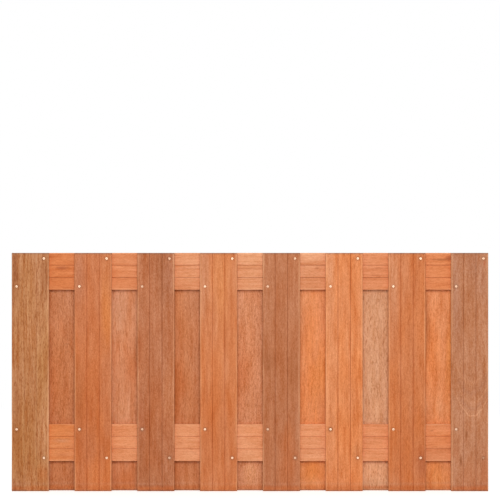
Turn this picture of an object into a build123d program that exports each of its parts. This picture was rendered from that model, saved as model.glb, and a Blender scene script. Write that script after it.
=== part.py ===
"""Hardwood garden fence panel: upright boards screwed to both sides of two rails.

Boards and rails are cut from one planed plank stock with eased long edges, two V-grooves on
its good face and a plain back. The front boards stand apart and the rear boards close the
gaps between them, so wind can pass and sight can't. Every board is held by two countersunk
screws at each rail, set on a diagonal.

Frame: origin in the middle of the panel's foot, X along the panel, Y through it with the
front facing -Y, Z up. Lengths are in millimetres, angles in degrees.
"""

import os
from math import radians, tan

from build123d import *

# Panel
PANEL_WIDTH = 1800.0
PANEL_HEIGHT = 900.0
FRONT_BOARD_COUNT = 8
FLAT_SIDE_OUT = (1,)  # front boards that were fixed with their grooves against the rails
BOTTOM_RAIL_RISE = 112.0  # from the foot of the boards to the bottom rail's lower edge

# Plank stock
PLANK_WIDTH = 140.0
PLANK_THICKNESS = 16.0
EDGE_RADIUS = 2.5
GROOVE_WIDTH = 3.5
GROOVE_DEPTH = 2.0
GROOVE_SPACING = 47.0  # between the middles of a plank's two grooves

# Screws, drawn with flats to keep so many of them light; their diameters are across the flats
SCREW_FLATS = 8  # an even number
SCREW_DIAMETER = 4.0
SCREW_TIP_LENGTH = 5.0
SCREW_TIP_COVER = 1.5  # timber left between a screw's tip and the rail's far face
HEAD_DIAMETER = 8.0
HEAD_ANGLE = 90.0
HEAD_SINK = 0.5  # from the board's face down to the face of the head
SHANK_CLEARANCE = 0.25  # between a screw and the wall of its hole in a board
PILOT_END_GAP = 0.5  # from a screw's tip to the end of its hole in a rail

# Places of the screws, from the edges of the board and of the rail
SCREW_SIDE_INSET = 18.5
TOP_RAIL_UPPER_INSET = 21.0
TOP_RAIL_LOWER_INSET = 13.5
BOTTOM_RAIL_UPPER_INSET = 18.0
BOTTOM_RAIL_LOWER_INSET = 14.0

# Worked out from the driving dimensions
PANEL_DEPTH = 3 * PLANK_THICKNESS  # front boards, rails, rear boards
BOARD_PITCH = (PANEL_WIDTH - PLANK_WIDTH) / (FRONT_BOARD_COUNT - 1)
FRONT_CENTRES = [BOARD_PITCH * (i - (FRONT_BOARD_COUNT - 1) / 2) for i in range(FRONT_BOARD_COUNT)]
REAR_CENTRES = [centre + BOARD_PITCH / 2 for centre in FRONT_CENTRES[:-1]]
TOP_RAIL_RISE = PANEL_HEIGHT - PLANK_WIDTH  # its upper edge is flush with the top of the boards
SCREW_LENGTH = 2 * PLANK_THICKNESS - HEAD_SINK - SCREW_TIP_COVER
HEAD_SLOPE = tan(radians(HEAD_ANGLE / 2))  # how much a head widens for each millimetre of its height
HEAD_HEIGHT = (HEAD_DIAMETER - SCREW_DIAMETER) / 2 / HEAD_SLOPE
BOARD_HOLE_DIAMETER = SCREW_DIAMETER + 2 * SHANK_CLEARANCE
COUNTERSINK_DIAMETER = HEAD_DIAMETER + 2 * HEAD_SINK * HEAD_SLOPE
COUNTERSINK_DEPTH = (COUNTERSINK_DIAMETER - BOARD_HOLE_DIAMETER) / 2 / HEAD_SLOPE
PILOT_HOLE_DEPTH = HEAD_SINK + SCREW_LENGTH + PILOT_END_GAP - PLANK_THICKNESS

# The panel's two faces. Local x runs along the panel, local y runs up, and local z points out.
FRONT_FACE = Plane(origin=(0, -PANEL_DEPTH / 2, 0), x_dir=(1, 0, 0), z_dir=(0, -1, 0))
REAR_FACE = Plane(origin=(0, PANEL_DEPTH / 2, 0), x_dir=(-1, 0, 0), z_dir=(0, 1, 0))
LAYERS = {"front": (FRONT_FACE, FRONT_CENTRES), "rear": (REAR_FACE, REAR_CENTRES)}

# The faces of a plank, as depths below the face that shows
SHOWN_FACE = 0.0
HIDDEN_FACE = PLANK_THICKNESS


def plank_section(plane, grooved_face):
    """A plank's section, from its shown face at local y = 0 inwards, with two V-grooves."""
    with BuildSketch(plane) as section:
        with Locations((0, PLANK_THICKNESS / 2)):
            RectangleRounded(PLANK_WIDTH, PLANK_THICKNESS, EDGE_RADIUS)
        with Locations((0, grooved_face)):
            with GridLocations(GROOVE_SPACING, 0, 2, 1):
                Polygon(
                    (-GROOVE_WIDTH / 2, 0),
                    (0, -GROOVE_DEPTH),
                    (GROOVE_WIDTH / 2, 0),
                    (0, GROOVE_DEPTH),
                    mode=Mode.SUBTRACT,
                )
    return section.sketch


def flatted_bar(*outline):
    """A bar round the Z axis with flats all round, from (radius, height) points down one side."""
    with BuildPart() as bar:
        for turn in range(SCREW_FLATS // 2):
            with BuildSketch(Plane.XZ.rotated((0, 0, 360 / SCREW_FLATS * turn))):
                with BuildLine():
                    Polyline(*outline)
                    mirror(about=Plane.YZ)
                make_face()
            extrude(amount=COUNTERSINK_DIAMETER, both=True, mode=Mode.INTERSECT if turn else Mode.ADD)
    return bar.part


def top_screws(face, centres):
    """Places on a face of the screws into the top rail: one high and one low on each board."""
    along = face.x_dir.X
    reach = PLANK_WIDTH / 2 - SCREW_SIDE_INSET
    high = TOP_RAIL_RISE + PLANK_WIDTH - TOP_RAIL_UPPER_INSET
    low = TOP_RAIL_RISE + TOP_RAIL_LOWER_INSET
    places = [(along * (x + reach), high) for x in centres]
    return places + [(along * (x - reach), low) for x in centres]


def bottom_screws(face, centres):
    """Places on a face of the screws into the bottom rail, on the other diagonal."""
    along = face.x_dir.X
    reach = PLANK_WIDTH / 2 - SCREW_SIDE_INSET
    high = BOTTOM_RAIL_RISE + PLANK_WIDTH - BOTTOM_RAIL_UPPER_INSET
    low = BOTTOM_RAIL_RISE + BOTTOM_RAIL_LOWER_INSET
    places = [(along * (x - reach), high) for x in centres]
    return places + [(along * (x + reach), low) for x in centres]


def make_board(name, face, centre, grooved_face):
    """An upright board, drilled and countersunk for its screws."""
    foot = Plane(origin=(centre, face.origin.Y, 0), x_dir=face.x_dir, z_dir=(0, 0, 1))
    with BuildPart() as board:
        extrude(plank_section(foot, grooved_face), amount=PANEL_HEIGHT)
        with Locations(face):
            with Locations(*top_screws(face, [centre]), *bottom_screws(face, [centre])):
                add(countersunk_hole, mode=Mode.SUBTRACT)
    board.part.label = name
    export_step(board.part, f"parts/{name}.step")


def make_rail(name, rise, screw_places):
    """A rail between the two layers of boards, with a pilot hole for each screw that bites in it."""
    end = Plane(
        origin=(-PANEL_WIDTH / 2, -PLANK_THICKNESS / 2, rise + PLANK_WIDTH / 2),
        x_dir=(0, 0, -1),
        z_dir=(1, 0, 0),
    )
    with BuildPart() as rail:
        extrude(plank_section(end, SHOWN_FACE), amount=PANEL_WIDTH)
        for face, centres in LAYERS.values():
            with Locations(face.offset(-PLANK_THICKNESS)):
                with Locations(*screw_places(face, centres)):
                    add(pilot_hole, mode=Mode.SUBTRACT)
    rail.part.label = name
    export_step(rail.part, f"parts/{name}.step")


def make_screws(name, face, places):
    """The screws that hold one layer of boards to one rail."""
    with BuildPart() as screws:
        with Locations(face):
            with Locations(*places):
                add(screw)
    screws.part.label = name
    export_step(screws.part, f"parts/{name}.step")


os.makedirs("parts", exist_ok=True)

# One countersunk screw, pointing down from the face of the board at z = 0
screw = flatted_bar(
    (0, -HEAD_SINK),
    (HEAD_DIAMETER / 2, -HEAD_SINK),
    (SCREW_DIAMETER / 2, -HEAD_SINK - HEAD_HEIGHT),
    (SCREW_DIAMETER / 2, -HEAD_SINK - SCREW_LENGTH + SCREW_TIP_LENGTH),
    (0, -HEAD_SINK - SCREW_LENGTH),
)

# What is drilled out of a board for one screw, down from the board's face
countersunk_hole = flatted_bar(
    (0, 0),
    (COUNTERSINK_DIAMETER / 2, 0),
    (BOARD_HOLE_DIAMETER / 2, -COUNTERSINK_DEPTH),
    (BOARD_HOLE_DIAMETER / 2, -PLANK_THICKNESS),
    (0, -PLANK_THICKNESS),
)

# What one screw takes up in a rail, down from the rail's face
pilot_hole = flatted_bar(
    (0, 0),
    (SCREW_DIAMETER / 2, 0),
    (SCREW_DIAMETER / 2, -PILOT_HOLE_DEPTH),
    (0, -PILOT_HOLE_DEPTH),
)

# Boards
for number, centre in enumerate(FRONT_CENTRES, start=1):
    grooved_face = HIDDEN_FACE if number in FLAT_SIDE_OUT else SHOWN_FACE
    make_board(f"front_board_{number}", FRONT_FACE, centre, grooved_face)
for number, centre in enumerate(REAR_CENTRES, start=1):
    make_board(f"rear_board_{number}", REAR_FACE, centre, SHOWN_FACE)

# Rails
make_rail("top_rail", TOP_RAIL_RISE, top_screws)
make_rail("bottom_rail", BOTTOM_RAIL_RISE, bottom_screws)

# Fixings
for layer, (face, centres) in LAYERS.items():
    make_screws(f"{layer}_top_screws", face, top_screws(face, centres))
    make_screws(f"{layer}_bottom_screws", face, bottom_screws(face, centres))
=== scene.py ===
"""Timber finishes, screws and studio stage for the hardwood fence panel.

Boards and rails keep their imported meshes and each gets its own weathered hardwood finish. The
packed screws are replaced by round countersunk ones with a six-lobe star recess.
Lengths are in metres. The panel's front faces -Y, X runs along it and its foot is at Z = 0.
"""

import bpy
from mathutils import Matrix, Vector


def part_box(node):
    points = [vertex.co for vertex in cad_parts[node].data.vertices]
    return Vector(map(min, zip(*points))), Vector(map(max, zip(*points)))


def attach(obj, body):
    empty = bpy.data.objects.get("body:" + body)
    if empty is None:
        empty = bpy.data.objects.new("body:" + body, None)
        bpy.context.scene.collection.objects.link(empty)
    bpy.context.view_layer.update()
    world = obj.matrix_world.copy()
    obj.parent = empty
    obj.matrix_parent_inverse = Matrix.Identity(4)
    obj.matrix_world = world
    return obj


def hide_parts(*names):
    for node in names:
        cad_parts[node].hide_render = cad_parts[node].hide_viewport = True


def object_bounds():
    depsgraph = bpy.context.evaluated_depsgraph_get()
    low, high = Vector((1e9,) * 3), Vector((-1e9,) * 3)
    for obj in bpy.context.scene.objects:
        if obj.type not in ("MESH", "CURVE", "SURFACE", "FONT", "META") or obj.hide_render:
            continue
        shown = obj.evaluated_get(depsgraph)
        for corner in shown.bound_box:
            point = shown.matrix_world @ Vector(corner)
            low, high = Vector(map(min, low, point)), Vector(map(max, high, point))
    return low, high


bl_info = {
    "name": "Hardwood Fence Panel",
    "version": (1, 0, 0),
    "blender": (4, 5, 0),
    "location": "View3D > Sidebar > Fence Panel",
    "description": "Finishes a packed hardwood fence panel and sets it on a studio stage",
    "category": "Object",
}

from collections import namedtuple
from functools import wraps
from math import pi

import bmesh
import bpy
from bpy.props import FloatProperty, FloatVectorProperty, PointerProperty
from mathutils import Matrix, Vector

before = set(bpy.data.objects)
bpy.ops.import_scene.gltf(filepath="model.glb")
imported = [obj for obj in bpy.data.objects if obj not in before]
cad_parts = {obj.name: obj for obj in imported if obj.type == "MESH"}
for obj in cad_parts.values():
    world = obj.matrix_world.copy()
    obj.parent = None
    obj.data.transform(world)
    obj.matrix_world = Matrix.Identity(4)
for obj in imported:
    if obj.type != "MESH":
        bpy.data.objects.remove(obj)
CAD_BOX = [list(corner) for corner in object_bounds()]

TOP_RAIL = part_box("top_rail")
BOTTOM_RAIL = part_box("bottom_rail")
FRONT_FACE = CAD_BOX[0][1]
REAR_FACE = CAD_BOX[1][1]
PANEL_HEIGHT = CAD_BOX[1][2]

# Plank stock, as it is cut for every board and rail
PLANK_HALF_WIDTH = (TOP_RAIL[1].z - TOP_RAIL[0].z) / 2
GROOVE_OFFSET = 0.0235  # from the middle of a plank to the middle of a groove
GROOVE_HALF_WIDTH = 0.00175
GROOVE_DEPTH = 0.002

# Places of the screws, from the edges of the board and of the rail
SCREW_SIDE_INSET = 0.0185
TOP_RAIL_UPPER_INSET = 0.021
TOP_RAIL_LOWER_INSET = 0.0135
BOTTOM_RAIL_UPPER_INSET = 0.018
BOTTOM_RAIL_LOWER_INSET = 0.014
SCREW_REACH = PLANK_HALF_WIDTH - SCREW_SIDE_INSET
SCREW_HEIGHTS = {
    "Top High": TOP_RAIL[1].z - TOP_RAIL_UPPER_INSET,
    "Top Low": TOP_RAIL[0].z + TOP_RAIL_LOWER_INSET,
    "Bottom High": BOTTOM_RAIL[1].z - BOTTOM_RAIL_UPPER_INSET,
    "Bottom Low": BOTTOM_RAIL[0].z + BOTTOM_RAIL_LOWER_INSET,
}
SCREW_SIDES = {"Top High": 1, "Top Low": -1, "Bottom High": -1, "Bottom Low": 1}

# How much of their shine the screws have lost: on most boards, on some boards, and one screw, whose head is
# painted dark as painted shade for a dark reflection on it
LEAST_DULLED = 0.1
DULLED_SCREWS = {"front_board_3": 0.55, "front_board_5": 0.5, "front_board_8": 0.35, "rear_board_4": 0.4}
DARK_SCREW = ("front_board_8", "Bottom Low")
DARK_SCREW_PAINTED_SHADE = 0.95

# Shape of a screw: sides of its rounds, how many of them make a lobe of the recess and the hollow
# beside it, how far the hollows are drawn in, and how far the recess and the tip narrow
ROUND_SEGMENTS = 24
LOBE_SEGMENTS = 4
HOLLOW_SCALE = 0.74
RECESS_TAPER = 0.9
TIP_TAPER = 0.08

# One layer of noise: lumps per metre across and along, detail and roughness of the noise, and the
# levels of it at which the layer's mask starts and is full
Layer = namedtuple("Layer", "across along detail roughness start full")

# Brushed steel: its marks, their pattern, the roughness they leave, and the dirt in a recess
BRUSHING = Layer(900.0, 4000.0, 2.0, 0.5, 0.2, 0.8)
BRUSHING_SEED = 5.0
STEEL_ROUGHNESS = (0.28, 0.5)
RECESS_DIRT = 0.85

# Grain of the timber, with its lumps counted across and along the plank
GRAIN = {
    "Drift": Layer(18.0, 3.5, 2.0, 0.5, 0.3, 0.7),
    "Mottle": Layer(55.0, 9.0, 4.0, 0.62, 0.25, 0.75),
    "Streaks": Layer(130.0, 5.0, 3.0, 0.6, 0.28, 0.72),
    "Fleck": Layer(300.0, 170.0, 1.0, 0.6, 0.25, 0.75),
    "Fibre": Layer(1000.0, 14.0, 2.0, 0.6, 0.25, 0.75),
    "Vessels": Layer(330.0, 60.0, 1.0, 0.6, 0.5, 0.66),
    "Pores": Layer(1400.0, 160.0, 0.0, 0.5, 0.56, 0.68),
}
SHADING = ("Mottle", "Streaks", "Fleck", "Fibre")  # grain that makes timber paler and darker
OPEN_GRAIN = ("Vessels", "Pores")  # grain that cuts into the face
OVERLAYS = (*OPEN_GRAIN, "Arris", "Groove", "Stain")  # what lies over the timber, in order

# Hairlines break up the vessels; this much of a vessel is left between them
HAIRLINES = Layer(1900.0, 50.0, 1.0, 0.5, 0.4, 0.6)
BETWEEN_HAIRLINES = 0.35

# Slow wander and quick ripple of the grain: lumps per metre across and along, and sideways reach
Sway = namedtuple("Sway", "across along reach")
SWAYS = (Sway(6.0, 2.5, 0.024), Sway(45.0, 16.0, 0.003))
SWAY_DETAIL = 1.0

# Paler and darker grain differs more in blue and green than in red
CHANNEL_SWING = {"Red": 0.5, "Green": 1.0, "Blue": 1.6}
VESSEL_TINT = (0.68, 0.52, 0.4, 1.0)
DRIFT_SHARE = 0.3  # how far the slow drift goes towards the bleached colour

# How far a line of flame figure strays from its arch, and where along its half width it starts to fade
FLAME_WAVER = 0.012
FLAME_FADE = 0.4

# Dark ring round a screw, stain from damp with painted shadow of the countersink gap: its radius, how much
# that varies, and the share of it that is darkest
SCREW_RING_RADIUS = 0.011
SCREW_RING_VARIES = (0.75, 1.25)
SCREW_RING_CORE = 0.45

# Pale arrises, wear with painted highlight: how far from the edge they reach, where they are palest, and
# the least of their paleness
ARRIS_REACH = 0.0075
ARRIS_PALEST = 0.002
ARRIS_LEAST = 0.1

# Painted shade in a groove starts and is full at these shares of its half width and of its depth
GROOVE_WIDTH_SHARES = (1.1, 0.6)
GROOVE_DEPTH_SHARES = (2.0, 1.2)

# Sawn ends: how far the greying runs up the plank, where it is full, how strong it is there, how
# squarely a face must look along the plank to be end grain, and how far its rings keep the plank's colour
SAWN_REACH = 0.008
SAWN_FULL = 0.001
SAWN_SHARE = 0.7
END_FACING = (0.8, 0.9)
END_RING_SHARE = 0.3

# Surface of the timber: roughness of closed and of open grain, the mask at which it is roughest,
# height of the streaks against the depth of open grain, strength of the bump, sheen
TIMBER_ROUGHNESS = (0.55, 0.85)
ROUGHEST = 1.5
STREAK_RELIEF = 0.3
BUMP_STRENGTH = 0.6
TIMBER_SHEEN = 0.12

# Where the floor starts to melt into the backdrop, where it is lost in it, and its own faint glow
FLOOR_FADE_START = 1.6
FLOOR_FADE_END = 5.0
FLOOR_GLOW = 0.5
SENSOR_WIDTH = 36.0

# A soft-edged patch of another colour on a plank. Across is measured from the plank's middle,
# along from the foot of a board or the middle of a rail.
Patch = namedtuple("Patch", "colour strength across along half_width half_length ragged", defaults=[0.4])
WHOLE_WIDTH = 1.0  # half width of a patch that runs right across a plank

# An arched line of the flame figure, bent by so many metres per square metre across the plank
Flame = namedtuple("Flame", "colour strength across along half_width bend half_thickness")

# How one plank differs from the others
Look = namedtuple("Look", "tone seed marks mottle streaks fleck vessels groove_dirt", defaults=[1.0])

# How a plank lies: what brings the middle of its shown face to the origin and stands it along Z, its
# two ends there, the axis along which its sawn ends face, and whether screw heads show on it
Lay = namedtuple("Lay", "shift turn mirror foot head end_axis screwed")


def plank(tone, seed, *marks, **contrasts):
    """A plank's look, with its patches and flames in the order they are laid on."""
    return Look(tone, seed, marks, **contrasts)


def bleached_top(strength):
    """Sun and rain bleach a board from its top edge down."""
    return Patch("bleached", strength, 0.0, PANEL_HEIGHT, WHOLE_WIDTH, 0.42, 0.5)


def damp_foot(strength):
    """The foot of a board stays damp and keeps a redder, darker band."""
    return Patch("damp", strength, 0.0, 0.0, WHOLE_WIDTH, 0.045, 0.35)


def tide_marks(strength):
    """Rain splashed up from the ground leaves a thin pale line across a board and a redder one below it."""
    pale_line = Patch("bleached", strength * 0.7, 0.0, 0.028, WHOLE_WIDTH, 0.009, 0.3)
    red_line = Patch("russet", strength * 1.8, 0.0, 0.011, WHOLE_WIDTH, 0.014, 0.3)
    return pale_line, red_line


FRONT_LOOKS = {
    "front_board_1": plank(
        "weathered_tan", 1.3,
        bleached_top(0.15),
        Patch("heartwood", 0.48, -0.062, 0.82, 0.03, 0.24, 0.5),
        Patch("heartwood", 0.4, -0.058, 0.34, 0.03, 0.2, 0.5),
        Patch("heartwood", 0.5, -0.056, 0.87, 0.012, 0.14),
        Patch("heartwood", 0.48, 0.058, 0.8, 0.045, 0.16, 0.5),
        Patch("pale", 0.28, 0.052, 0.22, 0.034, 0.15),
        Patch("pale", 0.22, 0.0, 0.02, 0.045, 0.1),
        Patch("damp", 0.65, -0.06, 0.0, 0.04, 0.06),
        Patch("heartwood", 0.7, -0.06, 0.0, 0.06, 0.07),
        Patch("russet", 0.4, 0.052, 0.065, 0.034, 0.05),
        Patch("pale", 0.12, 0.0, 0.59, 0.06, 0.1),
        *tide_marks(0.25),
        Patch("greyed", 0.75, -0.072, 0.86, 0.007, 0.5, 0.1),
        # Pale line down the right arris: painted highlight
        Patch("pale", 0.75, 0.072, 0.36, 0.006, 0.6, 0.1),
        mottle=0.6, streaks=2.3, fleck=0.7, vessels=2.0, groove_dirt=1.6,
    ),
    "front_board_2": plank(
        "russet", 2.9,
        bleached_top(0.2),
        Patch("greyed", 0.3, -0.055, 0.8, 0.034, 0.2, 0.5),
        Patch("heartwood", 0.5, -0.052, 0.34, 0.036, 0.2, 0.5),
        Patch("pale", 0.1, 0.0, 0.46, 0.026, 0.2, 0.5),
        Patch("russet", 0.6, -0.025, 0.28, 0.085, 0.28),
        Patch("golden", 0.35, 0.05, 0.7, 0.034, 0.3),
        Patch("bright_orange", 0.45, 0.015, 0.05, 0.1, 0.12),
        *tide_marks(0.2),
        mottle=0.7, streaks=0.65, fleck=0.9, vessels=0.8, groove_dirt=0.5,
    ),
    "front_board_3": plank(
        "red_brown", 3.7,
        Patch("greyed", 0.35, 0.045, 0.8, 0.05, 0.2, 0.5),
        Patch("heartwood", 0.45, 0.015, 0.86, 0.055, 0.17, 0.5),
        Patch("bleached", 0.28, -0.05, 0.7, 0.034, 0.12, 0.5),
        Patch("pale", 0.2, 0.05, 0.38, 0.034, 0.18, 0.5),
        Patch("heartwood", 0.6, -0.03, 0.08, 0.095, 0.26, 0.5),
        Patch("heartwood", 0.35, 0.03, 0.745, 0.055, 0.09, 0.5),
        Patch("bleached", 0.18, 0.01, 0.52, 0.045, 0.16),
        Patch("russet", 0.4, -0.02, 0.12, 0.09, 0.26, 0.5),
        Patch("damp", 0.4, -0.052, 0.27, 0.034, 0.16),
        Patch("heartwood", 0.55, -0.015, 0.0, 0.085, 0.06),
        damp_foot(0.8),
        *tide_marks(0.35),
        mottle=0.9, streaks=0.9, fleck=1.1, vessels=0.9,
    ),
    "front_board_4": plank(
        "light_orange", 4.1,
        bleached_top(0.2),
        Patch("bleached", 0.42, -0.054, 0.8, 0.03, 0.28),
        Patch("golden", 0.35, 0.01, 0.76, 0.05, 0.26),
        Patch("pale", 0.14, 0.02, 0.46, 0.05, 0.14, 0.5),
        Patch("pale", 0.13, 0.0, 0.73, 0.05, 0.22),
        Patch("russet", 0.4, -0.052, 0.34, 0.034, 0.14),
        Patch("russet", 0.4, 0.048, 0.145, 0.034, 0.07),
        Patch("russet", 0.6, -0.015, 0.22, 0.11, 0.2, 0.5),
        Patch("pale", 0.14, -0.04, 0.02, 0.06, 0.06),
        *tide_marks(0.2),
        mottle=0.8, streaks=0.9, fleck=0.7, vessels=0.7, groove_dirt=0.3,
    ),
    "front_board_5": plank(
        "brown", 5.6,
        bleached_top(0.12),
        Patch("bleached", 0.3, -0.052, 0.72, 0.032, 0.28),
        Patch("bleached", 0.15, 0.0, 0.86, 0.034, 0.14),
        Patch("heartwood", 0.4, -0.05, 0.48, 0.036, 0.08, 0.5),
        Patch("heartwood", 0.28, 0.05, 0.44, 0.034, 0.14, 0.5),
        Patch("russet", 0.55, 0.03, 0.08, 0.07, 0.24, 0.5),
        Patch("bleached", 0.14, -0.052, 0.08, 0.032, 0.12, 0.5),
        damp_foot(0.4),
        *tide_marks(0.3),
        mottle=0.8, streaks=0.7, fleck=0.9, vessels=0.7, groove_dirt=0.6,
    ),
    "front_board_6": plank(
        "bright_orange", 6.2,
        Patch("bleached", 0.4, -0.052, 0.78, 0.03, 0.34, 0.3),
        Patch("bleached", 0.28, -0.05, 0.22, 0.032, 0.28),
        Patch("light_orange", 0.5, 0.02, 0.74, 0.07, 0.26, 0.5),
        Patch("light_orange", 0.5, 0.02, 0.36, 0.08, 0.22, 0.5),
        Patch("pale", 0.16, 0.0, 0.08, 0.034, 0.12, 0.5),
        Patch("pale", 0.12, 0.02, 0.35, 0.07, 0.09),
        Patch("heartwood", 0.22, 0.048, 0.145, 0.03, 0.06, 0.5),
        Patch("heartwood", 0.9, -0.052, 0.234, 0.014, 0.015, 0.2),
        damp_foot(0.3),
        *tide_marks(0.2),
        mottle=0.9, streaks=0.9, fleck=0.8, vessels=0.8, groove_dirt=2.2,
    ),
    "front_board_7": plank(
        "light_orange", 7.8,
        bleached_top(0.12),
        Patch("bleached", 0.38, -0.052, 0.74, 0.032, 0.3),
        Patch("russet", 0.45, 0.03, 0.84, 0.06, 0.16, 0.5),
        Patch("russet", 0.45, 0.005, 0.2, 0.04, 0.16, 0.5),
        Patch("pale", 0.14, -0.05, 0.84, 0.034, 0.1),
        Patch("russet", 0.4, 0.0, 0.15, 0.04, 0.11),
        Patch("russet", 0.85, 0.05, 0.145, 0.034, 0.07),
        Patch("damp", 0.75, 0.056, 0.11, 0.044, 0.11),
        Patch("pale", 0.18, -0.045, 0.03, 0.045, 0.07),
        damp_foot(0.3),
        *tide_marks(0.3),
        mottle=0.65, streaks=0.75, fleck=0.8, vessels=0.9, groove_dirt=0.3,
    ),
    "front_board_8": plank(
        "rose_grey", 8.4,
        Patch("greyed", 0.45, -0.054, 0.76, 0.034, 0.36),
        Patch("greyed", 0.35, 0.02, 0.86, 0.07, 0.16, 0.5),
        Patch("pale", 0.14, 0.03, 0.3, 0.05, 0.12, 0.5),
        Patch("damp", 0.4, 0.058, 0.1, 0.022, 0.14),
        Patch("russet", 0.3, 0.0, 0.05, 0.11, 0.14, 0.5),
        Patch("red_brown", 0.5, -0.052, 0.145, 0.032, 0.06),
        Patch("heartwood", 0.25, 0.052, 0.4, 0.034, 0.14, 0.5),
        Patch("greyed", 0.3, 0.052, 0.76, 0.034, 0.1, 0.5),
        Patch("heartwood", 0.95, -0.034, 0.114, 0.008, 0.034, 0.2),
        Patch("heartwood", 0.75, -0.012, 0.214, 0.008, 0.024, 0.2),
        Patch("damp", 0.7, 0.056, 0.862, 0.007, 0.026, 0.2),
        damp_foot(0.8),
        *tide_marks(0.3),
        Flame("pale", 0.4, 0.01, 0.283, 0.085, 21.0, 0.005),
        Flame("pale", 0.16, 0.012, 0.335, 0.08, 20.0, 0.01),
        Flame("greyed", 0.22, 0.01, 0.31, 0.08, 20.0, 0.012),
        Flame("pale", 0.14, 0.008, 0.41, 0.08, 18.0, 0.016),
        Flame("greyed", 0.18, 0.008, 0.372, 0.08, 18.0, 0.014),
        mottle=0.9, streaks=0.7, fleck=1.0, vessels=0.9, groove_dirt=0.2,
    ),
}
REAR_LOOKS = {
    "rear_board_1": plank(
        "warm_brown", 11.1,
        Patch("bleached", 0.25, 0.01, 0.76, 0.09, 0.1),
        Patch("russet", 0.55, -0.045, 0.34, 0.035, 0.2, 0.5),
        Patch("pale", 0.14, 0.035, 0.42, 0.025, 0.1, 0.5),
        Patch("russet", 0.4, -0.005, 0.63, 0.022, 0.07),
        Patch("heartwood", 0.6, -0.001, 0.733, 0.004, 0.024, 0.2),
        damp_foot(0.1),
        *tide_marks(0.35),
        Flame("heartwood", 0.4, 0.019, 0.556, 0.035, -57.0, 0.004),
        Flame("heartwood", 0.2, 0.022, 0.525, 0.035, -60.0, 0.005),
        mottle=0.8, streaks=0.9, fleck=1.0, vessels=1.6,
    ),
    "rear_board_2": plank(
        "salmon", 12.6,
        Patch("bleached", 0.5, -0.025, 0.7, 0.06, 0.16, 0.5),
        Patch("russet", 0.5, 0.03, 0.47, 0.05, 0.16, 0.5),
        Patch("pale", 0.22, -0.04, 0.64, 0.03, 0.07),
        Patch("heartwood", 0.2, 0.042, 0.53, 0.028, 0.09, 0.5),
        Patch("pale", 0.22, -0.02, 0.31, 0.06, 0.06),
        Patch("russet", 0.75, 0.0, 0.04, 0.11, 0.11),
        *tide_marks(0.3),
        mottle=0.8, streaks=0.8, fleck=0.6, vessels=1.3,
    ),
    "rear_board_3": plank(
        "warm_brown", 13.2,
        Patch("bleached", 0.38, 0.03, 0.72, 0.055, 0.14, 0.5),
        Patch("russet", 0.95, -0.042, 0.38, 0.042, 0.26, 0.5),
        Patch("pale", 0.14, 0.02, 0.02, 0.06, 0.08),
        Patch("heartwood", 0.25, -0.046, 0.4, 0.028, 0.2, 0.5),
        Patch("bleached", 0.28, 0.038, 0.5, 0.034, 0.14),
        Patch("russet", 0.5, -0.035, 0.07, 0.05, 0.07),
        *tide_marks(0.3),
        mottle=0.9, streaks=0.8, fleck=0.8, vessels=1.2,
    ),
    "rear_board_4": plank(
        "salmon", 14.9,
        Patch("pale", 0.14, -0.03, 0.68, 0.06, 0.1, 0.5),
        Patch("russet", 0.4, -0.03, 0.44, 0.05, 0.12, 0.5),
        Patch("pale", 0.14, -0.046, 0.59, 0.028, 0.12),
        Patch("pale", 0.8, 0.005, 0.075, 0.05, 0.07, 0.5),
        *tide_marks(0.25),
        mottle=0.8, streaks=0.9, fleck=1.0, vessels=1.5,
    ),
    "rear_board_5": plank(
        "bright_orange", 15.4,
        Patch("pale", 0.18, 0.0, 0.72, 0.09, 0.1, 0.5),
        Patch("golden", 0.45, 0.035, 0.42, 0.05, 0.22, 0.5),
        Patch("pale", 0.22, -0.046, 0.64, 0.028, 0.07),
        Patch("pale", 0.28, 0.0, 0.03, 0.11, 0.035),
        Patch("golden", 0.4, -0.01, 0.07, 0.08, 0.09),
        *tide_marks(0.25),
        mottle=0.7, streaks=0.7, fleck=0.8, vessels=1.0,
    ),
    "rear_board_6": plank(
        "pale_beige", 16.7,
        Patch("heartwood", 0.1, 0.0, 0.74, 0.09, 0.06),
        Patch("pale", 0.25, 0.04, 0.36, 0.03, 0.14, 0.5),
        Patch("pale", 0.28, 0.0, 0.31, 0.11, 0.06),
        Patch("pale", 0.9, 0.005, 0.075, 0.1, 0.09, 0.5),
        *tide_marks(0.35),
        mottle=0.5, streaks=0.6, fleck=0.7, vessels=1.7,
    ),
    "rear_board_7": plank(
        "bright_orange", 17.3,
        Patch("heartwood", 0.42, -0.047, 0.66, 0.028, 0.18, 0.5),
        Patch("pale", 0.2, 0.0, 0.74, 0.03, 0.05, 0.5),
        Patch("golden", 0.7, 0.045, 0.52, 0.034, 0.3, 0.5),
        Patch("pale", 0.2, 0.0, 0.31, 0.11, 0.06),
        Patch("golden", 0.4, 0.0, 0.05, 0.09, 0.1, 0.5),
        *tide_marks(0.3),
        mottle=0.9, streaks=0.9, fleck=0.9, vessels=1.0,
    ),
}
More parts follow.
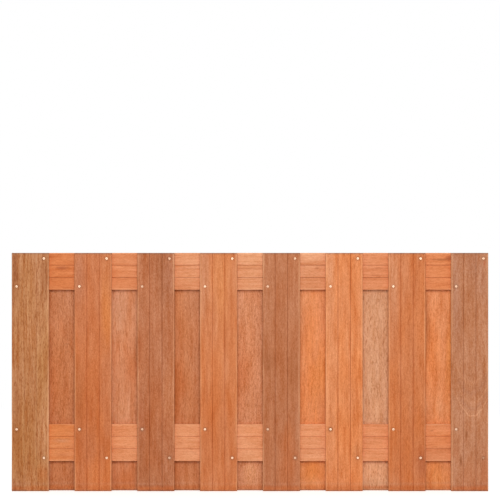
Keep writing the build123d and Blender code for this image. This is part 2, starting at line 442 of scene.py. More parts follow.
RAIL_LOOKS = {
    "top_rail": plank(
        "rail_orange", 21.5,
        Patch("light_orange", 0.65, 0.0, -0.8, WHOLE_WIDTH, 0.45, 0.3),
        Patch("light_orange", 0.4, 0.0, 0.85, WHOLE_WIDTH, 0.35, 0.3),
        Patch("bleached", 0.4, 0.0, 0.05, WHOLE_WIDTH, 0.8),
        Patch("pale", 0.45, 0.03, 0.0, 0.2, 0.55),
        Patch("pale", 0.5, 0.055, 0.1, 0.034, 0.28),
        Patch("damp", 0.8, 0.013, -0.711, 0.01, 0.032, 0.3),
        Patch("damp", 0.6, 0.012, 0.255, 0.006, 0.016, 0.2),
        Patch("damp", 0.8, 0.05, 0.756, 0.012, 0.024, 0.3),
        Patch("heartwood", 0.5, 0.045, 0.722, 0.006, 0.048, 0.3),
        Patch("damp", 0.55, 0.012, 0.48, 0.005, 0.06),
        Patch("damp", 0.45, -0.015, 0.48, 0.004, 0.06),
        Patch("damp", 0.4, 0.011, -0.12, 0.005, 0.48, 0.5),
        mottle=0.5, streaks=1.1, fleck=0.5, vessels=0.7, groove_dirt=2.2,
    ),
    "bottom_rail": plank(
        "rail_orange", 23.8,
        Patch("pale", 0.45, 0.0, 0.0, WHOLE_WIDTH, 0.85),
        Patch("pale", 0.26, -0.047, 0.05, 0.034, 1.2, 0.3),
        Patch("pale", 0.16, 0.02, -0.36, 0.07, 0.2),
        Patch("golden", 0.35, 0.0, -0.75, WHOLE_WIDTH, 0.25),
        Patch("damp", 0.45, -0.045, -0.71, 0.014, 0.06, 0.6),
        Patch("bleached", 0.45, 0.007, -0.715, 0.014, 0.06),
        Patch("russet", 0.35, 0.05, -0.715, 0.034, 0.07),
        Patch("damp", 0.6, 0.045, 0.688, 0.004, 0.012, 0.2),
        mottle=0.6, streaks=0.9, fleck=0.6, vessels=0.6, groove_dirt=1.5,
    ),
}


def colour(name, description, default):
    """A colour that a user can change."""
    return FloatVectorProperty(
        name=name, description=description, default=default, size=3, min=0.0, max=1.0, subtype="COLOR"
    )


def share(name, description, default):
    """A strength from none to full that a user can change."""
    return FloatProperty(
        name=name, description=description, default=default, min=0.0, max=1.0, subtype="FACTOR"
    )


def length(name, description, default):
    """A length that a user can change."""
    return FloatProperty(name=name, description=description, default=default, min=0.0, unit="LENGTH")


def power(name, description, default):
    """The power of a lamp, which a user can change."""
    return FloatProperty(name=name, description=description, default=default, min=0.0, unit="POWER")


def spot(name, description, default):
    """A place on the stage that a user can change."""
    return FloatVectorProperty(
        name=name, description=description, default=default, size=3, subtype="TRANSLATION"
    )


class FencePanelTimber(bpy.types.PropertyGroup):
    """Colours and wear of the boards and rails, with painted arris highlights, painted groove shade and
    painted shade in the rings round the screws.
    """

    weathered_tan: colour("Weathered tan", "First front board, flat side out", (0.473, 0.188, 0.06))
    russet: colour("Russet", "Second front board", (0.557, 0.148, 0.038))
    red_brown: colour("Red-brown", "Third front board", (0.457, 0.142, 0.052))
    light_orange: colour("Light orange", "Fourth and seventh front boards", (0.606, 0.174, 0.047))
    brown: colour("Brown", "Fifth front board", (0.45, 0.144, 0.052))
    bright_orange: colour("Bright orange", "Freshest boards of both layers", (0.767, 0.251, 0.08))
    rose_grey: colour("Rose grey", "Eighth front board", (0.479, 0.187, 0.084))
    warm_brown: colour("Warm brown", "Darker rear boards", (0.557, 0.185, 0.066))
    salmon: colour("Salmon", "Pinker rear boards", (0.654, 0.245, 0.107))
    pale_beige: colour("Pale beige", "Palest rear board", (0.69, 0.339, 0.176))
    rail_orange: colour("Rail orange", "Both rails", (0.735, 0.232, 0.08))
    bleached: colour("Bleached", "Timber greyed by the sun", (0.58, 0.28, 0.16))
    damp: colour("Damp", "Timber darkened at the foot", (0.43, 0.115, 0.042))
    pale: colour("Pale", "Sapwood and freshly planed timber", (0.82, 0.4, 0.21))
    golden: colour("Golden", "Warmer, more golden timber", (0.76, 0.26, 0.055))
    heartwood: colour("Heartwood", "Dark heartwood", (0.3, 0.09, 0.028))
    greyed: colour("Greyed", "Timber greyed by damp", (0.39, 0.175, 0.11))
    # Pale arrises: wear with painted highlight
    worn: colour("Worn", "Arrises rubbed bare", (0.9, 0.48, 0.25))
    # Dark grooves are painted shade; the rings round the screws are stain with painted shade
    grime: colour("Grime", "Dirt in grooves and round screws", (0.16, 0.07, 0.04))
    end_grain: colour("End grain", "Sawn ends, greyed", (0.26, 0.13, 0.075))
    mottle: share("Mottle", "Contrast of the uneven figure", 0.45)
    streaks: share("Streaks", "Contrast of the long streaks", 0.25)
    fleck: share("Fleck", "Contrast of the short fleck", 0.35)
    fibre: share("Fibre", "Contrast of the finest fibres", 0.22)
    vessels: share("Vessel lines", "Darkness of the short vessel lines", 0.6)
    pores: share("Pores", "Darkness of the fine pores", 0.25)
    # Strengths of the pale arrises (wear with painted highlight), the painted groove shade and the screw
    # rings (stain with painted shade)
    wear: share("Arris wear", "How pale the arrises are", 0.35)
    dirt: share("Groove dirt", "How dark the grooves are", 0.08)
    stain: share("Screw stains and shade", "How dark the timber is round the screws", 0.3)
    vessel_depth: length("Vessel depth", "How deep vessel lines and pores cut the face", 0.0002)


class FencePanelScrews(bpy.types.PropertyGroup):
    """Sizes and colours of the countersunk screws."""

    head_diameter: length("Head diameter", "Across the rim of the head", 0.0082)
    head_sink: length("Head sink", "From the board's face down to the head", 0.0002)
    shank_diameter: length("Shank diameter", "Across the plain shank", 0.004)
    screw_length: length("Length", "From the face of the head to the tip", 0.03)
    tip_length: length("Tip length", "Length of the pointed tip", 0.005)
    recess_diameter: length("Recess diameter", "Across the lobes of the star recess", 0.0039)
    recess_depth: length("Recess depth", "Depth of the star recess", 0.0018)
    steel: colour("Steel", "Warm plated steel of the heads", (0.96, 0.68, 0.48))
    # Also paints one screw's head dark, as painted shade for a dark reflection on it
    tarnish: colour("Tarnish", "Dulled steel and dirt in the recess", (0.42, 0.2, 0.11))


class FencePanelStage(bpy.types.PropertyGroup):
    """Floor, light and camera."""

    floor_size: length("Floor size", "Side of the square floor", 24.0)
    floor: colour("Floor", "Pale floor", (0.8, 0.8, 0.8))
    backdrop: colour("Backdrop", "Background behind the panel", (1.0, 1.0, 1.0))
    ambient: FloatProperty(name="Ambient light", description="Light from all round", default=0.45, min=0.0)
    lamp_size: length("Lamp size", "Side of the two large soft lamps", 4.0)
    key_power: power("Key light", "Power of the lamp in front of the panel", 392.0)
    key_place: spot("Key place", "Where the lamp in front of the panel hangs", (0.2, -7.0, 4.2))
    fill_power: power("Fill light", "Power of the lamp behind the panel", 170.0)
    fill_place: spot("Fill place", "Where the lamp behind the panel hangs", (-0.6, 6.5, 4.6))
    camera_distance: length("Camera distance", "From the panel's front face", 9.0)
    camera_height: length("Camera height", "Above the floor", 0.911)
    focal_length: FloatProperty(
        name="Focal length", description="On a 36 mm sensor", default=171.6, min=1.0, unit="CAMERA"
    )


class NodeBench:
    """A node tree with short ways to add nodes. Values are numbers, colours or sockets to link."""

    def __init__(self, tree):
        self.tree = tree

    def feed(self, socket, value):
        """Sets a socket to a value, or links it if the value is a socket too."""
        if isinstance(value, bpy.types.NodeSocket):
            self.tree.links.new(value, socket)
        else:
            socket.default_value = value

    def add(self, kind, inputs=None, **settings):
        """A new shader node with its settings made and its inputs set or linked."""
        node = self.tree.nodes.new(f"ShaderNode{kind}")
        for name, value in settings.items():
            setattr(node, name, value)
        for key, value in (inputs or {}).items():
            self.feed(node.inputs[key], value)
        return node

    def make(self, kind, inputs=None, **settings):
        """The first thing that a new shader node puts out."""
        return self.add(kind, inputs, **settings).outputs[0]

    def math(self, operation, first, second=0.0):
        """One sum on two numbers."""
        return self.make("Math", {0: first, 1: second}, operation=operation)

    def times(self, first, second):
        """Two numbers multiplied."""
        return self.math("MULTIPLY", first, second)

    def centred(self, mask):
        """A mask shifted to swing evenly below and above nothing."""
        return self.math("SUBTRACT", mask, 0.5)

    def vector(self, operation, first, second):
        """One sum on two vectors."""
        return self.make("VectorMath", {0: first, 1: second}, operation=operation)

    def span(self, vector):
        """The length of a vector."""
        return self.add("VectorMath", {0: vector}, operation="LENGTH").outputs["Value"]

    def join(self, across, deep, along):
        """A vector put together from its three parts."""
        return self.make("CombineXYZ", {"X": across, "Y": deep, "Z": along})

    def split(self, vector):
        """The three parts of a vector."""
        return self.add("SeparateXYZ", {"Vector": vector}).outputs

    def ramp(self, value, start, end, low=0.0, high=1.0):
        """A smooth rise from low at start to high at end."""
        inputs = {"Value": value, "From Min": start, "From Max": end, "To Min": low, "To Max": high}
        return self.make("MapRange", inputs, interpolation_type="SMOOTHSTEP")

    def blend(self, factor, first, second, mode="MIX"):
        """Two colours blended by a factor."""
        node = self.add("Mix", data_type="RGBA", blend_type=mode)
        sockets = {socket.identifier: socket for socket in (*node.inputs, *node.outputs)}
        self.feed(sockets["Factor_Float"], factor)
        self.feed(sockets["A_Color"], first)
        self.feed(sockets["B_Color"], second)
        return sockets["Result_Color"]

    def noise(self, place, stretch, seed, detail, roughness=0.5):
        """Noise with so many lumps per metre each way; the seed shifts it to a new pattern."""
        scaled = self.vector("MULTIPLY", place, stretch)
        inputs = {"Vector": scaled, "W": seed, "Scale": 1.0, "Detail": detail, "Roughness": roughness}
        return self.add("TexNoise", inputs, noise_dimensions="4D").outputs

    def use(self, group, inputs):
        """A node group placed here with its own values."""
        return self.add("Group", inputs, node_tree=group).outputs


def place_object(name, data):
    """A new object in the scene."""
    made = bpy.data.objects.new(name, data)
    bpy.context.collection.objects.link(made)
    return made


def place_mesh(name, bm, material):
    """A new object of one material in the scene, from a bmesh that is freed."""
    mesh = bpy.data.meshes.new(name)
    bm.to_mesh(mesh)
    bm.free()
    mesh.materials.append(material)
    return place_object(name, mesh)


def start_nodes(owner):
    """A bench on the cleared node tree of a new material or world."""
    owner.use_nodes = True
    owner.node_tree.nodes.clear()
    return NodeBench(owner.node_tree)


def opaque(rgb):
    """A colour with a full fourth channel, as sockets take it."""
    return (*rgb, 1.0)


def paint(name):
    """One of the timber's colours."""
    return opaque(getattr(bpy.context.scene.fence_panel_timber, name))


def floats(*labels):
    """Sockets for numbers, by their labels."""
    return dict.fromkeys(labels, "Float")


def shared_group(name, inputs, outputs):
    """Turns a function that fills a node group into one that makes the group once and returns it."""

    def decorate(fill):
        @wraps(fill)
        def ask_for_group():
            group = bpy.data.node_groups.get(name)
            if group is None:
                group = bpy.data.node_groups.new(name, "ShaderNodeTree")
                for label, kind in inputs.items():
                    group.interface.new_socket(label, in_out="INPUT", socket_type=f"NodeSocket{kind}")
                for label, kind in outputs.items():
                    group.interface.new_socket(label, in_out="OUTPUT", socket_type=f"NodeSocket{kind}")
                bench = NodeBench(group)
                given = group.nodes.new("NodeGroupInput").outputs
                put_out = group.nodes.new("NodeGroupOutput").inputs
                for label, value in fill(bench, given).items():
                    bench.feed(put_out[label], value)
            return group

        return ask_for_group

    return decorate


def layer_mask(bench, place, seed, layer, low=0.0, high=1.0):
    """One layer of noise as a mask from low to high."""
    stretch = (layer.across, layer.across, layer.along)
    noise = bench.noise(place, stretch, seed, layer.detail, layer.roughness)["Fac"]
    return bench.ramp(noise, layer.start, layer.full, low, high)


@shared_group("Hardwood Grain", {"Place": "Vector", "Seed": "Float"}, floats(*GRAIN))
def hardwood_grain(bench, given):
    """Grain of a plank whose length runs along Z, from slow drift of tone down to fine pores."""
    seed = given["Seed"]
    bent = given["Place"]
    for sway in SWAYS:
        stretch = (sway.across, sway.across, sway.along)
        noise = bench.noise(given["Place"], stretch, seed, SWAY_DETAIL)["Color"]
        centred = bench.vector("SUBTRACT", noise, (0.5, 0.5, 0.5))
        bent = bench.vector("ADD", bent, bench.vector("MULTIPLY", centred, (sway.reach, sway.reach, 0.0)))
    masks = {label: layer_mask(bench, bent, seed, layer) for label, layer in GRAIN.items()}
    hairlines = layer_mask(bench, bent, seed, HAIRLINES, BETWEEN_HAIRLINES)
    masks["Vessels"] = bench.times(masks["Vessels"], hairlines)
    return masks


def size_labels(kind):
    """Labels of the sockets for all that a kind of mark says after its colour."""
    return [field.replace("_", " ").title() for field in kind._fields[1:]]


@shared_group("Soft Patch", {"Place": "Vector", **floats("Drift", *size_labels(Patch))}, floats("Mask"))
def soft_patch(bench, given):
    """Mask of one soft-edged patch, full in its middle and nothing at its half sizes."""
    middle = bench.join(given["Across"], 0.0, given["Along"])
    sizes = bench.join(given["Half Width"], 1.0, given["Half Length"])
    away = bench.vector("SUBTRACT", given["Place"], middle)
    distance = bench.span(bench.vector("DIVIDE", away, sizes))
    unevenness = bench.times(bench.centred(given["Drift"]), given["Ragged"])
    mask = bench.ramp(bench.math("ADD", distance, unevenness), 1.0, 0.0)
    return {"Mask": bench.times(mask, given["Strength"])}


@shared_group("Flame Line", {"Place": "Vector", **floats("Drift", *size_labels(Flame))}, floats("Mask"))
def flame_line(bench, given):
    """Mask of one arched line of flame figure."""
    parts = bench.split(given["Place"])
    aside = bench.math("SUBTRACT", parts["X"], given["Across"])
    arch = bench.times(bench.times(aside, aside), given["Bend"])
    waver = bench.times(bench.centred(given["Drift"]), FLAME_WAVER)
    level = bench.math("ADD", bench.math("ADD", given["Along"], arch), waver)
    off_line = bench.math("ABSOLUTE", bench.math("SUBTRACT", parts["Z"], level))
    line = bench.ramp(bench.math("DIVIDE", off_line, given["Half Thickness"]), 1.0, 0.0)
    way_out = bench.math("DIVIDE", bench.math("ABSOLUTE", aside), given["Half Width"])
    mask = bench.times(line, bench.ramp(way_out, 1.0, FLAME_FADE))
    return {"Mask": bench.times(mask, given["Strength"])}


@shared_group(
    "Screw Stain", {"Place": "Vector", **floats("Drift", "Reach", "Radius", *SCREW_HEIGHTS)}, floats("Mask")
)
def screw_stain_and_shade(bench, given):
    """Mask of the dark rings round a board's four screws: stain from damp and painted shadow of the
    countersink gap.
    """
    distances = []
    for label, side in SCREW_SIDES.items():
        screw = bench.join(bench.times(given["Reach"], side), 0.0, given[label])
        distances.append(bench.span(bench.vector("SUBTRACT", given["Place"], screw)))
    nearest = distances[0]
    for distance in distances[1:]:
        nearest = bench.math("MINIMUM", nearest, distance)
    spread = bench.times(given["Radius"], bench.ramp(given["Drift"], 0.0, 1.0, *SCREW_RING_VARIES))
    return {"Mask": bench.ramp(bench.math("DIVIDE", nearest, spread), 1.0, SCREW_RING_CORE)}


@shared_group(
    "Plank Edges",
    {"Place": "Vector", **floats("Streaks", "Half Width", "Groove Offset", "Foot", "Head")},
    floats("Arris", "Groove", "Sawn"),
)
def plank_edges(bench, given):
    """Masks of a plank's arrises (wear with painted highlight), its V-grooves (painted shade) and its sawn
    ends.
    """
    parts = bench.split(given["Place"])
    across = bench.math("ABSOLUTE", parts["X"])
    inset = bench.math("SUBTRACT", given["Half Width"], across)
    # Pale arrises: wear with painted highlight
    worn = bench.ramp(inset, ARRIS_REACH, ARRIS_PALEST)
    patchy = bench.ramp(given["Streaks"], 0.0, 1.0, ARRIS_LEAST)
    # Painted shade in the V-grooves
    off_groove = bench.math("ABSOLUTE", bench.math("SUBTRACT", across, given["Groove Offset"]))
    in_line = bench.ramp(off_groove, *(GROOVE_HALF_WIDTH * part for part in GROOVE_WIDTH_SHARES))
    depth = bench.math("ABSOLUTE", parts["Y"])
    near_face = bench.ramp(depth, *(GROOVE_DEPTH * part for part in GROOVE_DEPTH_SHARES))
    to_foot = bench.math("SUBTRACT", parts["Z"], given["Foot"])
    to_head = bench.math("SUBTRACT", given["Head"], parts["Z"])
    return {
        "Arris": bench.times(worn, patchy),
        "Groove": bench.times(in_line, near_face),
        "Sawn": bench.ramp(bench.math("MINIMUM", to_foot, to_head), SAWN_REACH, SAWN_FULL),
    }


TIMBER_COLOURS = dict.fromkeys(("Timber", "Worn", "Grime", "End Grain"), "Color")
TIMBER_MASKS = floats("End", *SHADING, *OVERLAYS, *(f"{label} Strength" for label in SHADING + OVERLAYS))


@shared_group(
    "Weathered Timber", TIMBER_COLOURS | TIMBER_MASKS, {"Color": "Color"} | floats("Roughness", "Height")
)
def weathered_timber(bench, given):
    """Grain, wear with painted arris highlights, painted groove shade and screw rings of stain and painted
    shade, laid over a plank's colour.
    """
    swings = [bench.times(bench.centred(given[label]), given[f"{label} Strength"]) for label in SHADING]
    swing = swings[0]
    for more in swings[1:]:
        swing = bench.math("ADD", swing, more)
    levels = {}
    for channel, part in CHANNEL_SWING.items():
        levels[channel] = bench.math("ADD", bench.times(swing, part), 1.0)
    shade = bench.make("CombineColor", levels)
    tint = bench.blend(1.0, given["Timber"], shade, "MULTIPLY")
    dark = bench.blend(1.0, tint, VESSEL_TINT, "MULTIPLY")
    # Arrises take wear with painted highlight, grooves painted shade, and screw rings stain with painted
    # shade
    covers = (dark, dark, given["Worn"], given["Grime"], given["Grime"])
    for label, cover in zip(OVERLAYS, covers):
        tint = bench.blend(bench.times(given[label], given[f"{label} Strength"]), tint, cover)
    sawn = bench.blend(1.0, given["End Grain"], shade, "MULTIPLY")
    sawn = bench.blend(given["Pores"], sawn, bench.blend(1.0, sawn, VESSEL_TINT, "MULTIPLY"))
    sawn = bench.blend(bench.times(given["Streaks"], END_RING_SHARE), sawn, given["Timber"])
    open_grain = bench.math("MAXIMUM", given["Vessels"], given["Pores"])
    coarse = bench.math("ADD", open_grain, given["End"])
    raised = bench.times(given["Streaks"], STREAK_RELIEF)
    return {
        "Color": bench.blend(given["End"], tint, sawn),
        "Roughness": bench.ramp(coarse, 0.0, ROUGHEST, *TIMBER_ROUGHNESS),
        "Height": bench.math("SUBTRACT", raised, open_grain),
    }


# The group that draws each kind of mark, and the grain that its outline strays with
MARK_GROUPS = {Patch: (soft_patch, "Drift"), Flame: (flame_line, "Mottle")}


def plank_tone(bench, look, place, grain):
    """A plank's colour before its grain: its tone and slow drift, its patches and its flames."""
    drift = bench.times(grain["Drift"], DRIFT_SHARE)
    tone = bench.blend(drift, paint(look.tone), paint("bleached"))
    for mark in look.marks:
        group, strays = MARK_GROUPS[type(mark)]
        sizes = dict(zip(size_labels(type(mark)), mark[1:]))
        shape = {"Place": place, "Drift": grain[strays], **sizes}
        tone = bench.blend(bench.use(group(), shape)["Mask"], tone, paint(mark.colour))
    return tone


def plank_masks(bench, lay, place, grain):
    """Masks of a plank's edges (painted arris highlights), grooves (painted shade), sawn ends and screw
    rings (stain with painted shade).
    """
    stock = {"Half Width": PLANK_HALF_WIDTH, "Groove Offset": GROOVE_OFFSET}
    cut = {"Foot": lay.foot, "Head": lay.head}
    edges = bench.use(plank_edges(), {"Place": place, "Streaks": grain["Streaks"], **stock, **cut})
    normal = bench.add("NewGeometry").outputs["True Normal"]
    facing = bench.math("ABSOLUTE", bench.split(normal)[lay.end_axis])
    greyed = bench.times(edges["Sawn"], SAWN_SHARE)
    masks = {
        "Arris": edges["Arris"],
        "Groove": edges["Groove"],
        "End": bench.math("MAXIMUM", bench.ramp(facing, *END_FACING), greyed),
    }
    if lay.screwed:
        rings = {"Place": place, "Drift": grain["Drift"], "Reach": SCREW_REACH, "Radius": SCREW_RING_RADIUS}
        masks["Stain"] = bench.use(screw_stain_and_shade(), rings | SCREW_HEIGHTS)["Mask"]
    return masks


def plank_material(node, look, lay):
    """A plank's own finish."""
    timber = bpy.context.scene.fence_panel_timber
    material = bpy.data.materials.new(f"{node}_{look.tone}")
    bench = start_nodes(material)
    laid = {"Location": lay.shift, "Rotation": (0.0, lay.turn, 0.0), "Scale": (1.0, 1.0, lay.mirror)}
    place = bench.make("Mapping", {"Vector": bench.add("TexCoord").outputs["Object"], **laid})
    grain = bench.use(hardwood_grain(), {"Place": place, "Seed": look.seed})
    strengths = {
        "Mottle": timber.mottle * look.mottle,
        "Streaks": timber.streaks * look.streaks,
        "Fleck": timber.fleck * look.fleck,
        "Fibre": timber.fibre,
        "Vessels": timber.vessels * look.vessels,
        "Pores": timber.pores,
        "Arris": timber.wear,
        "Groove": timber.dirt * look.groove_dirt,
        "Stain": timber.stain,
    }
    finish = bench.use(
        weathered_timber(),
        {
            "Timber": plank_tone(bench, look, place, grain),
            "Worn": paint("worn"),
            "Grime": paint("grime"),
            "End Grain": paint("end_grain"),
            **{label: grain[label] for label in SHADING + OPEN_GRAIN},
            **plank_masks(bench, lay, place, grain),
            **{f"{label} Strength": strength for label, strength in strengths.items()},
        },
    )
    relief = {"Strength": BUMP_STRENGTH, "Distance": timber.vessel_depth, "Height": finish["Height"]}
    surface = bench.make(
        "BsdfPrincipled",
        {
            "Base Color": finish["Color"],
            "Roughness": finish["Roughness"],
            "Normal": bench.make("Bump", relief),
            "Specular IOR Level": TIMBER_SHEEN,
        },
    )
    bench.add("OutputMaterial", {"Surface": surface})
    return material


def dress(node, material):
    """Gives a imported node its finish."""
    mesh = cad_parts[node].data
    for place in range(len(mesh.materials)):
        mesh.materials[place] = material


def dress_boards(looks, face):
    """Gives each upright board of one layer its finish."""
    for node, look in looks.items():
        low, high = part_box(node)
        shift = (-(low.x + high.x) / 2, -face, 0.0)
        dress(node, plank_material(node, look, Lay(shift, 0.0, 1.0, low.z, high.z, "Z", True)))


def dress_rails():
    """Gives each rail its finish, with what is up on the rail taken as across the plank."""
    for node, look in RAIL_LOOKS.items():
        low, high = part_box(node)
        shift = (-(low.z + high.z) / 2, -low.y, 0.0)
        dress(node, plank_material(node, look, Lay(shift, -pi / 2, -1.0, low.x, high.x, "X", False)))


class FENCE_PANEL_OT_front_boards(bpy.types.Operator):
    """Finish the eight front boards"""

    bl_idname = "fence_panel.front_boards"
    bl_label = "Finish Front Boards"
    bl_options = {"REGISTER", "UNDO"}

    def execute(self, context):
        dress_boards(FRONT_LOOKS, FRONT_FACE)
        return {"FINISHED"}


class FENCE_PANEL_OT_rear_boards(bpy.types.Operator):
    """Finish the seven rear boards"""

    bl_idname = "fence_panel.rear_boards"
    bl_label = "Finish Rear Boards"
    bl_options = {"REGISTER", "UNDO"}

    def execute(self, context):
        dress_boards(REAR_LOOKS, REAR_FACE)
        return {"FINISHED"}


class FENCE_PANEL_OT_rails(bpy.types.Operator):
    """Finish the two rails"""

    bl_idname = "fence_panel.rails"
    bl_label = "Finish Rails"
    bl_options = {"REGISTER", "UNDO"}

    def execute(self, context):
        dress_rails()
        return {"FINISHED"}


def screw_steel():
    """Plated steel, dulled screw by screw and dirty in the recess; one screw's head is painted dark as
    painted shade for a dark reflection.
    """
    screws = bpy.context.scene.fence_panel_screws
    material = bpy.data.materials.new("screw_steel")
    bench = start_nodes(material)
    place = bench.add("TexCoord").outputs["Object"]
    dull_and_shade = bench.add("Attribute", attribute_name="dulling_and_shade").outputs["Fac"]
    out = bench.math("ABSOLUTE", bench.split(place)["Y"])
    recess_floor = REAR_FACE - screws.recess_depth
    recess_rim = REAR_FACE - screws.head_sink * 2
    # Darker in the recess for dirt, on dulled screws for tarnish, and on one screw as painted shade for a
    # dark reflection
    dirt = bench.math("MAXIMUM", bench.ramp(out, recess_floor, recess_rim, RECESS_DIRT, 0.0), dull_and_shade)
    surface = bench.make(
        "BsdfPrincipled",
        {
            "Base Color": bench.blend(dirt, opaque(screws.steel), opaque(screws.tarnish)),
            "Metallic": 1.0,
            "Roughness": layer_mask(bench, place, BRUSHING_SEED, BRUSHING, *STEEL_ROUGHNESS),
        },
    )
    bench.add("OutputMaterial", {"Surface": surface})
    return material


def ring_edges(ring):
    """The edges of a ring of vertices, in the same order each run."""
    return list(dict.fromkeys(edge for vert in ring for edge in vert.link_edges))


def extrude_ring(bm, edges, drop, scale):
    """Extrudes a ring of edges down by a drop and scales it; returns the new ring."""
    made = bmesh.ops.extrude_edge_only(bm, edges=edges)["geom"]
    verts = [part for part in made if isinstance(part, bmesh.types.BMVert)]
    bmesh.ops.translate(bm, vec=(0.0, 0.0, -drop), verts=verts)
    bmesh.ops.scale(bm, vec=(scale, scale, 1.0), verts=verts)
    new_edges = [part for part in made if isinstance(part, bmesh.types.BMEdge)]
    return [edge for edge in new_edges if all(vert in verts for vert in edge.verts)]


def add_screw(bm, place, turn):
    """Models one screw on the face at a place; its axis is turned from -Z to point into the panel."""
    sizes = bpy.context.scene.fence_panel_screws
    head = sizes.head_diameter / 2
    shank = sizes.shank_diameter / 2
    lobe = sizes.recess_diameter / 2
    head_height = head - shank
    known = set(bm.verts)
    rim = bmesh.ops.create_circle(bm, segments=ROUND_SEGMENTS, radius=head)["verts"]
    star = bmesh.ops.create_circle(bm, segments=ROUND_SEGMENTS, radius=lobe)["verts"]
    hollows = [vert for number, vert in enumerate(star) if number % LOBE_SEGMENTS >= LOBE_SEGMENTS / 2]
    bmesh.ops.scale(bm, vec=(HOLLOW_SCALE, HOLLOW_SCALE, 1.0), verts=hollows)
    rim_edges = ring_edges(rim)
    star_edges = ring_edges(star)
    bmesh.ops.bridge_loops(bm, edges=rim_edges + star_edges)
    recess_floor = extrude_ring(bm, star_edges, sizes.recess_depth, RECESS_TAPER)
    bmesh.ops.contextual_create(bm, geom=recess_floor)
    neck = extrude_ring(bm, rim_edges, head_height, shank / head)
    point = extrude_ring(bm, neck, sizes.screw_length - sizes.tip_length - head_height, 1.0)
    tip = extrude_ring(bm, point, sizes.tip_length, TIP_TAPER)
    bmesh.ops.contextual_create(bm, geom=tip)
    verts = [vert for vert in bm.verts if vert not in known]
    bmesh.ops.transform(bm, matrix=Matrix.Translation(place) @ turn, verts=verts)
    return {part for vert in verts for part in vert.link_faces}


def sort_parts(bm):
    """Puts edges and faces in the same order each run, by the first and then the last of their vertices."""
    bm.verts.index_update()
    count = len(bm.verts)

    def rank(part):
        places = [vert.index for vert in part.verts]
        return min(places) * count + max(places)

    bm.edges.sort(key=rank)
    bm.faces.sort(key=rank)


def make_screws(name, boards, face, inward, labels, material):
    """The screws that hold one layer of boards to one rail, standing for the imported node."""
    sink = bpy.context.scene.fence_panel_screws.head_sink
    turn = Matrix.Rotation(inward * pi / 2, 4, "X")
    bm = bmesh.new()
    dulling_and_shade = bm.faces.layers.float.new("dulling_and_shade")
    for board in boards:
        low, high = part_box(board)
        middle = (low.x + high.x) / 2
        for label in labels:
            across = middle + SCREW_SIDES[label] * SCREW_REACH
            place = Vector((across, face + inward * sink, SCREW_HEIGHTS[label]))
            dull_and_shade = DULLED_SCREWS.get(board, LEAST_DULLED)
            # One screw's head is painted dark: painted shade for a dark reflection on it
            if (board, label) == DARK_SCREW:
                dull_and_shade = DARK_SCREW_PAINTED_SHADE
            for made in add_screw(bm, place, turn):
                made[dulling_and_shade] = dull_and_shade
    bmesh.ops.recalc_face_normals(bm, faces=bm.faces)
    sort_parts(bm)
    piece = place_mesh(f"{name}_detailed", bm, material)
    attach(piece, "root")
    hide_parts(name)


class FENCE_PANEL_OT_screws(bpy.types.Operator):
    """Make the countersunk screws of both layers at both rails"""

    bl_idname = "fence_panel.screws"
    bl_label = "Make Screws"
    bl_options = {"REGISTER", "UNDO"}

    def execute(self, context):
        material = screw_steel()
        top = ("Top High", "Top Low")
        bottom = ("Bottom High", "Bottom Low")
        make_screws("front_top_screws", FRONT_LOOKS, FRONT_FACE, 1, top, material)
        make_screws("front_bottom_screws", FRONT_LOOKS, FRONT_FACE, 1, bottom, material)
        make_screws("rear_top_screws", REAR_LOOKS, REAR_FACE, -1, top, material)
        make_screws("rear_bottom_screws", REAR_LOOKS, REAR_FACE, -1, bottom, material)
        return {"FINISHED"}


def backdrop_rays(bench):
    """Rays that see the white backdrop: straight to the camera, mirrored or through glass."""
    path = bench.add("LightPath").outputs
    seen = bench.math("MAXIMUM", path["Is Camera Ray"], path["Is Glossy Ray"])
    return bench.math("MAXIMUM", seen, path["Is Transmission Ray"])


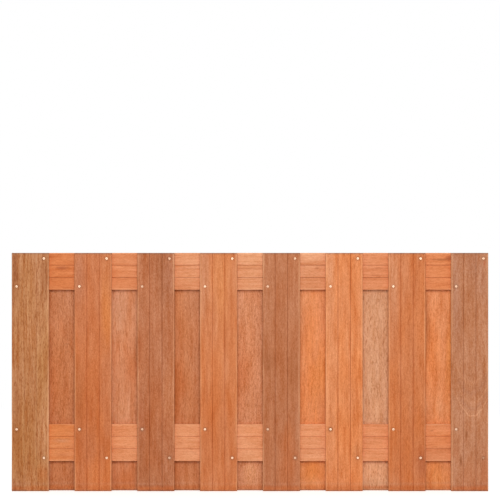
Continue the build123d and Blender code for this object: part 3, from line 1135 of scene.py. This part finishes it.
class FENCE_PANEL_OT_stage(bpy.types.Operator):
    """Set up the floor, the light and the camera"""

    bl_idname = "fence_panel.stage"
    bl_label = "Set Up Stage"
    bl_options = {"REGISTER", "UNDO"}

    def execute(self, context):
        stage = context.scene.fence_panel_stage
        self.make_floor(stage)
        self.make_light(context.scene, stage)
        self.make_camera(context.scene, stage)
        context.scene.view_settings.view_transform = "Standard"
        return {"FINISHED"}

    def make_floor(self, stage):
        """A pale floor that the camera sees as white where no shadow falls on it."""
        bm = bmesh.new()
        bmesh.ops.create_grid(bm, x_segments=1, y_segments=1, size=stage.floor_size / 2)
        material = bpy.data.materials.new("studio_floor")
        bench = start_nodes(material)
        white = opaque(stage.backdrop)
        matt = bench.make("BsdfDiffuse", {"Color": opaque(stage.floor)})
        glow = bench.make("Emission", {"Color": white, "Strength": FLOOR_GLOW})
        near = bench.make("AddShader", {0: matt, 1: glow})
        far = bench.make("Emission", {"Color": white, "Strength": 1.0})
        distance = bench.span(bench.add("TexCoord").outputs["Object"])
        fade = bench.ramp(distance, FLOOR_FADE_START, FLOOR_FADE_END)
        shown = bench.make("MixShader", {0: fade, 1: near, 2: far})
        surface = bench.make("MixShader", {0: backdrop_rays(bench), 1: matt, 2: shown})
        bench.add("OutputMaterial", {"Surface": surface})
        floor = place_mesh("studio_floor", bm, material)

    def make_light(self, scene, stage):
        """A white surround, a large soft lamp in front of the panel and a weaker one behind it."""
        world = bpy.data.worlds.new("studio")
        bench = start_nodes(world)
        white = opaque(stage.backdrop)
        soft = bench.make("Background", {"Color": white, "Strength": stage.ambient})
        backdrop = bench.make("Background", {"Color": white, "Strength": 1.0})
        both = bench.make("MixShader", {0: backdrop_rays(bench), 1: soft, 2: backdrop})
        bench.add("OutputWorld", {"Surface": both})
        scene.world = world
        self.hang_lamp("key", stage.key_power, stage.lamp_size, stage.key_place)
        self.hang_lamp("fill", stage.fill_power, stage.lamp_size, stage.fill_place)

    def hang_lamp(self, name, watts, size, place):
        """A large soft lamp that shines at the middle of the panel."""
        lamp = bpy.data.lights.new(name, "AREA")
        lamp.energy = watts
        lamp.size = size
        hung = place_object(name, lamp)
        hung.location = place
        aim = Vector((0.0, 0.0, PANEL_HEIGHT / 2)) - hung.location
        hung.rotation_euler = aim.to_track_quat("-Z", "Y").to_euler()

    def make_camera(self, scene, stage):
        """A level camera square to the panel, a little above its top edge."""
        lens = bpy.data.cameras.new("camera")
        lens.sensor_width = SENSOR_WIDTH
        lens.lens = stage.focal_length
        camera = place_object("camera", lens)
        camera.location = (0.0, FRONT_FACE - stage.camera_distance, stage.camera_height)
        camera.rotation_euler = (pi / 2, 0.0, 0.0)
        scene.camera = camera


class FENCE_PANEL_PT_sidebar(bpy.types.Panel):
    """The panel's pieces, in the order they are made"""

    bl_idname = "FENCE_PANEL_PT_sidebar"
    bl_label = "Fence Panel"
    bl_space_type = "VIEW_3D"
    bl_region_type = "UI"
    bl_category = "Fence Panel"

    def draw(self, context):
        for operator in OPERATORS:
            self.layout.operator(operator.bl_idname)
        for settings, cls in SETTINGS.items():
            box = self.layout.box()
            for name in cls.__annotations__:
                box.prop(getattr(context.scene, settings), name)


OPERATORS = (
    FENCE_PANEL_OT_front_boards,
    FENCE_PANEL_OT_rear_boards,
    FENCE_PANEL_OT_rails,
    FENCE_PANEL_OT_screws,
    FENCE_PANEL_OT_stage,
)
SETTINGS = {
    "fence_panel_timber": FencePanelTimber,
    "fence_panel_screws": FencePanelScrews,
    "fence_panel_stage": FencePanelStage,
}
CLASSES = (*SETTINGS.values(), *OPERATORS, FENCE_PANEL_PT_sidebar)


def register():
    for cls in CLASSES:
        bpy.utils.register_class(cls)
    for name, cls in SETTINGS.items():
        setattr(bpy.types.Scene, name, PointerProperty(type=cls))


def unregister():
    for name in SETTINGS:
        delattr(bpy.types.Scene, name)
    for cls in reversed(CLASSES):
        bpy.utils.unregister_class(cls)


def main():
    register()
    bpy.ops.fence_panel.front_boards()
    bpy.ops.fence_panel.rear_boards()
    bpy.ops.fence_panel.rails()
    bpy.ops.fence_panel.screws()
    bpy.ops.fence_panel.stage()


if __name__ == "__main__":
    main()
